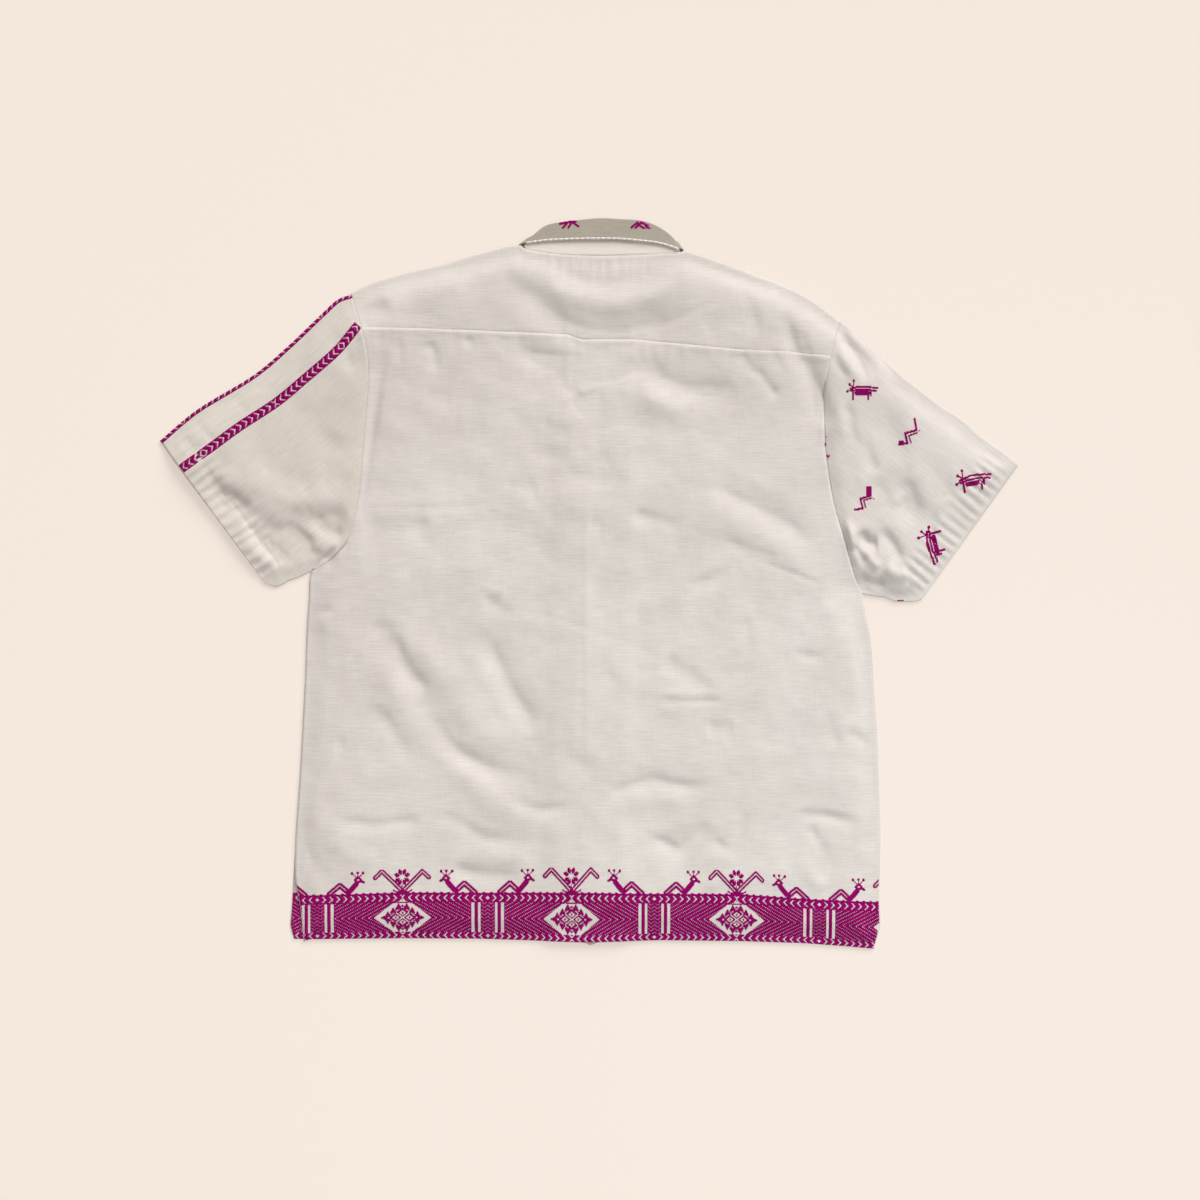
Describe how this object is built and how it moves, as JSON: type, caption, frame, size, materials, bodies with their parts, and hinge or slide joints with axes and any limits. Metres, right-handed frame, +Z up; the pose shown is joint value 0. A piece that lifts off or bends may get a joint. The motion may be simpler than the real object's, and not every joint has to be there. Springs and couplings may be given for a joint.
{
  "type": "short-sleeved camp shirt, laid flat",
  "caption": "Boxy camp shirt in slubby woven cloth, laid flat with its back up: yoke, short set-in sleeves, folded collar, side vents and a brocade hem band.",
  "frame": {"origin": "centre of the bounding box, on the plane that the shirt rests on", "axes": "+X toward the wearer's right cuff, +Y toward the collar, +Z up, out of the back of the shirt"},
  "size_m": [0.858, 0.7302, 0.0123],
  "materials": {
    "cloth": "matte slubby plain weave in an undyed oatmeal colour, with raised magenta brocade",
    "collar_cloth": "the same plain weave, read greyer where the collar folds",
    "buttons": "pale resin, satin"
  },
  "bodies": {
    "root": {"back": "cloth", "yoke": "cloth", "front_left": "cloth", "front_right": "cloth", "sleeve_left": "cloth", "sleeve_right": "cloth", "collar": "collar_cloth", "button_1": "buttons", "button_2": "buttons", "button_3": "buttons", "button_4": "buttons", "button_5": "buttons"}
  },
  "joints": []
}
